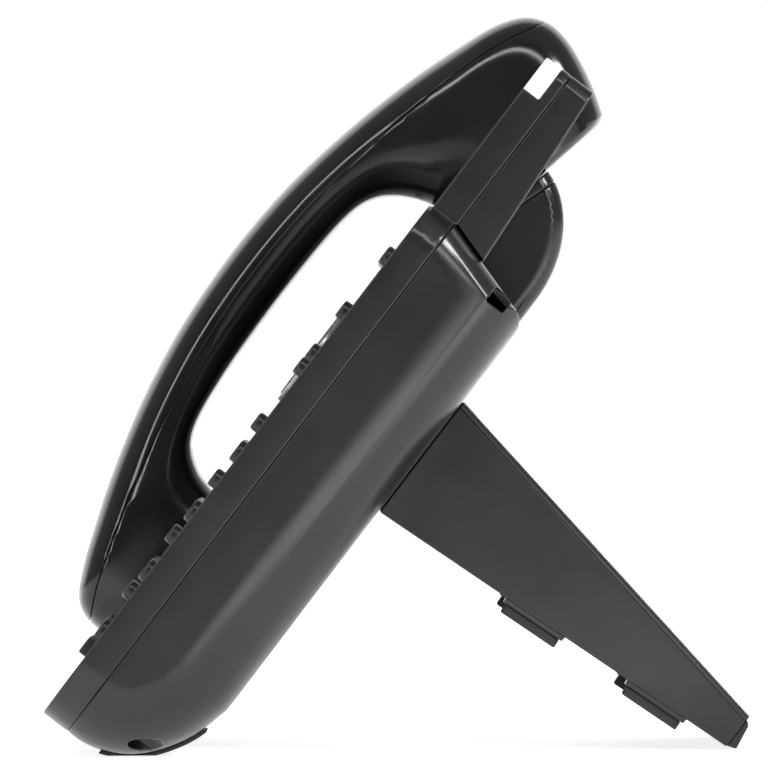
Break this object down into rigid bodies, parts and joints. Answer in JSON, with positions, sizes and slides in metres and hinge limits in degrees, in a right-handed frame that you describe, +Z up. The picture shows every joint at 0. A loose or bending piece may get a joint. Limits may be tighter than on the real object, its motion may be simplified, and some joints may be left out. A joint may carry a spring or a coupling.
{
  "type": "desk telephone",
  "caption": "Desk telephone with a corded-type handset in a cradle, raised display head, sprung keys and a plug-in stand that leans it back.",
  "frame": {"origin": "centre of the bounding box in plan, on the desk under the feet and the stand's tip", "axes": "+X to the user's right across the face, +Y away from the user, +Z up"},
  "size_m": [0.206, 0.1856, 0.1978],
  "materials": {
    "body_plastic": "fine spark-eroded texture, satin",
    "handset_plastic": "smooth satin",
    "key_plastic": "satin",
    "rubber": "matt",
    "lamp_plastic": "frosted translucent",
    "window": "polished",
    "display": "satin",
    "trim_ring": "satin metallised",
    "circuit_board": "solder mask",
    "steel": "zinc plated",
    "capsule_metal": "plated",
    "jack_plastic": "moulded",
    "flex_cable": "polyimide film"
  },
  "bodies": {
    "base": {"front_cover": "body_plastic", "rear_shell": "body_plastic", "display_rear_cover": "body_plastic", "display_window": "window", "display_panel": "display", "display_cable": "flex_cable", "status_lamp": "lamp_plastic", "nav_ring": "trim_ring", "key_board": "circuit_board", "key_mat": "rubber", "main_board": "circuit_board", "network_jacks": "jack_plastic", "cord_jacks": "jack_plastic", "loudspeaker": "capsule_metal", "base_microphone": "capsule_metal", "hook_switch": "jack_plastic", "base_feet": "rubber", "housing_screws": "steel"},
    "handset": {"handset_outer_shell": "handset_plastic", "handset_inner_shell": "handset_plastic", "ear_receiver": "capsule_metal", "mouth_microphone": "capsule_metal", "handset_weight": "steel", "handset_jack": "jack_plastic", "handset_screws": "steel"},
    "plug_in_stand": {"stand": "body_plastic", "stand_feet": "rubber", "stand_tip_pad": "rubber"},
    "hook_plunger": {"hook_plunger": "body_plastic"},
    "cradle_tab": {"cradle_tab": "body_plastic"},
    "volume_rocker": {"volume_rocker": "key_plastic"},
    "ok_key": {"ok_key": "key_plastic"},
    "nav_up": {"nav_up": "key_plastic"},
    "nav_left": {"nav_left": "key_plastic"},
    "nav_down": {"nav_down": "key_plastic"},
    "nav_right": {"nav_right": "key_plastic"},
    "key_star": {"key_star": "key_plastic"},
    "key_0": {"key_0": "key_plastic"},
    "key_hash": {"key_hash": "key_plastic"},
    "key_7": {"key_7": "key_plastic"},
    "key_8": {"key_8": "key_plastic"},
    "key_9": {"key_9": "key_plastic"},
    "key_4": {"key_4": "key_plastic"},
    "key_5": {"key_5": "key_plastic"},
    "key_6": {"key_6": "key_plastic"},
    "key_1": {"key_1": "key_plastic"},
    "key_2": {"key_2": "key_plastic"},
    "key_3": {"key_3": "key_plastic"},
    "speaker_key": {"speaker_key": "key_plastic"},
    "redial_key": {"redial_key": "key_plastic"},
    "transfer_key": {"transfer_key": "key_plastic"},
    "hold_key": {"hold_key": "key_plastic"},
    "mute_key": {"mute_key": "key_plastic"},
    "headset_key": {"headset_key": "key_plastic"},
    "soft_key_1": {"soft_key_1": "key_plastic"},
    "soft_key_2": {"soft_key_2": "key_plastic"},
    "soft_key_3": {"soft_key_3": "key_plastic"},
    "soft_key_4": {"soft_key_4": "key_plastic"},
    "message_key": {"message_key": "key_plastic"},
    "conference_key": {"conference_key": "key_plastic"}
  },
  "joints": [
    {"name": "handset_lift", "type": "slide", "parent": "base", "child": "handset", "axis": [0, -0.7915, 0.6112], "range_m": [0, 0.06]},
    {"name": "hook_plunger_slide", "type": "slide", "parent": "base", "child": "hook_plunger", "axis": [0, -0.7915, 0.6112], "range_m": [0, 0.0035]},
    {"name": "cradle_tab_slide", "type": "slide", "parent": "base", "child": "cradle_tab", "axis": [0, -0.7915, 0.6112], "range_m": [0, 0.006]},
    {"name": "stand_release", "type": "slide", "parent": "base", "child": "plug_in_stand", "axis": [0, 0.6112, 0.7915], "range_m": [-0.008, 0]},
    {"name": "volume_rock", "type": "hinge", "parent": "base", "child": "volume_rocker", "pos_m": [0.078, -0.07697, 0.02561], "axis": [0, 0.6112, 0.7915], "range_deg": [-3, 3], "stiffness_Nm_per_rad": 0.1},
    {"name": "ok_key_press", "type": "slide", "parent": "base", "child": "ok_key", "axis": [0, 0.7915, -0.6112], "range_m": [0, 0.0008], "stiffness_N_per_m": 400, "springref_m": -0.001},
    {"name": "nav_up_press", "type": "slide", "parent": "base", "child": "nav_up", "axis": [0, 0.7915, -0.6112], "range_m": [0, 0.0008], "stiffness_N_per_m": 400, "springref_m": -0.001},
    {"name": "nav_left_press", "type": "slide", "parent": "base", "child": "nav_left", "axis": [0, 0.7915, -0.6112], "range_m": [0, 0.0008], "stiffness_N_per_m": 400, "springref_m": -0.001},
    {"name": "nav_down_press", "type": "slide", "parent": "base", "child": "nav_down", "axis": [0, 0.7915, -0.6112], "range_m": [0, 0.0008], "stiffness_N_per_m": 400, "springref_m": -0.001},
    {"name": "nav_right_press", "type": "slide", "parent": "base", "child": "nav_right", "axis": [0, 0.7915, -0.6112], "range_m": [0, 0.0008], "stiffness_N_per_m": 400, "springref_m": -0.001},
    {"name": "key_star_press", "type": "slide", "parent": "base", "child": "key_star", "axis": [0, 0.7915, -0.6112], "range_m": [0, 0.0008], "stiffness_N_per_m": 400, "springref_m": -0.001},
    {"name": "key_0_press", "type": "slide", "parent": "base", "child": "key_0", "axis": [0, 0.7915, -0.6112], "range_m": [0, 0.0008], "stiffness_N_per_m": 400, "springref_m": -0.001},
    {"name": "key_hash_press", "type": "slide", "parent": "base", "child": "key_hash", "axis": [0, 0.7915, -0.6112], "range_m": [0, 0.0008], "stiffness_N_per_m": 400, "springref_m": -0.001},
    {"name": "key_7_press", "type": "slide", "parent": "base", "child": "key_7", "axis": [0, 0.7915, -0.6112], "range_m": [0, 0.0008], "stiffness_N_per_m": 400, "springref_m": -0.001},
    {"name": "key_8_press", "type": "slide", "parent": "base", "child": "key_8", "axis": [0, 0.7915, -0.6112], "range_m": [0, 0.0008], "stiffness_N_per_m": 400, "springref_m": -0.001},
    {"name": "key_9_press", "type": "slide", "parent": "base", "child": "key_9", "axis": [0, 0.7915, -0.6112], "range_m": [0, 0.0008], "stiffness_N_per_m": 400, "springref_m": -0.001},
    {"name": "key_4_press", "type": "slide", "parent": "base", "child": "key_4", "axis": [0, 0.7915, -0.6112], "range_m": [0, 0.0008], "stiffness_N_per_m": 400, "springref_m": -0.001},
    {"name": "key_5_press", "type": "slide", "parent": "base", "child": "key_5", "axis": [0, 0.7915, -0.6112], "range_m": [0, 0.0008], "stiffness_N_per_m": 400, "springref_m": -0.001},
    {"name": "key_6_press", "type": "slide", "parent": "base", "child": "key_6", "axis": [0, 0.7915, -0.6112], "range_m": [0, 0.0008], "stiffness_N_per_m": 400, "springref_m": -0.001},
    {"name": "key_1_press", "type": "slide", "parent": "base", "child": "key_1", "axis": [0, 0.7915, -0.6112], "range_m": [0, 0.0008], "stiffness_N_per_m": 400, "springref_m": -0.001},
    {"name": "key_2_press", "type": "slide", "parent": "base", "child": "key_2", "axis": [0, 0.7915, -0.6112], "range_m": [0, 0.0008], "stiffness_N_per_m": 400, "springref_m": -0.001},
    {"name": "key_3_press", "type": "slide", "parent": "base", "child": "key_3", "axis": [0, 0.7915, -0.6112], "range_m": [0, 0.0008], "stiffness_N_per_m": 400, "springref_m": -0.001},
    {"name": "speaker_key_press", "type": "slide", "parent": "base", "child": "speaker_key", "axis": [0, 0.7915, -0.6112], "range_m": [0, 0.0008], "stiffness_N_per_m": 400, "springref_m": -0.001},
    {"name": "redial_key_press", "type": "slide", "parent": "base", "child": "redial_key", "axis": [0, 0.7915, -0.6112], "range_m": [0, 0.0008], "stiffness_N_per_m": 400, "springref_m": -0.001},
    {"name": "transfer_key_press", "type": "slide", "parent": "base", "child": "transfer_key", "axis": [0, 0.7915, -0.6112], "range_m": [0, 0.0008], "stiffness_N_per_m": 400, "springref_m": -0.001},
    {"name": "hold_key_press", "type": "slide", "parent": "base", "child": "hold_key", "axis": [0, 0.7915, -0.6112], "range_m": [0, 0.0008], "stiffness_N_per_m": 400, "springref_m": -0.001},
    {"name": "mute_key_press", "type": "slide", "parent": "base", "child": "mute_key", "axis": [0, 0.7915, -0.6112], "range_m": [0, 0.0008], "stiffness_N_per_m": 400, "springref_m": -0.001},
    {"name": "headset_key_press", "type": "slide", "parent": "base", "child": "headset_key", "axis": [0, 0.7915, -0.6112], "range_m": [0, 0.0008], "stiffness_N_per_m": 400, "springref_m": -0.001},
    {"name": "soft_key_1_press", "type": "slide", "parent": "base", "child": "soft_key_1", "axis": [0, 0.7915, -0.6112], "range_m": [0, 0.0008], "stiffness_N_per_m": 400, "springref_m": -0.001},
    {"name": "soft_key_2_press", "type": "slide", "parent": "base", "child": "soft_key_2", "axis": [0, 0.7915, -0.6112], "range_m": [0, 0.0008], "stiffness_N_per_m": 400, "springref_m": -0.001},
    {"name": "soft_key_3_press", "type": "slide", "parent": "base", "child": "soft_key_3", "axis": [0, 0.7915, -0.6112], "range_m": [0, 0.0008], "stiffness_N_per_m": 400, "springref_m": -0.001},
    {"name": "soft_key_4_press", "type": "slide", "parent": "base", "child": "soft_key_4", "axis": [0, 0.7915, -0.6112], "range_m": [0, 0.0008], "stiffness_N_per_m": 400, "springref_m": -0.001},
    {"name": "message_key_press", "type": "slide", "parent": "base", "child": "message_key", "axis": [0, 0.7915, -0.6112], "range_m": [0, 0.0008], "stiffness_N_per_m": 400, "springref_m": -0.001},
    {"name": "conference_key_press", "type": "slide", "parent": "base", "child": "conference_key", "axis": [0, 0.7915, -0.6112], "range_m": [0, 0.0008], "stiffness_N_per_m": 400, "springref_m": -0.001}
  ],
  "couplings": [
    {"joint": "hook_plunger_slide", "follows": "handset_lift", "ratio": 0.058333}
  ]
}
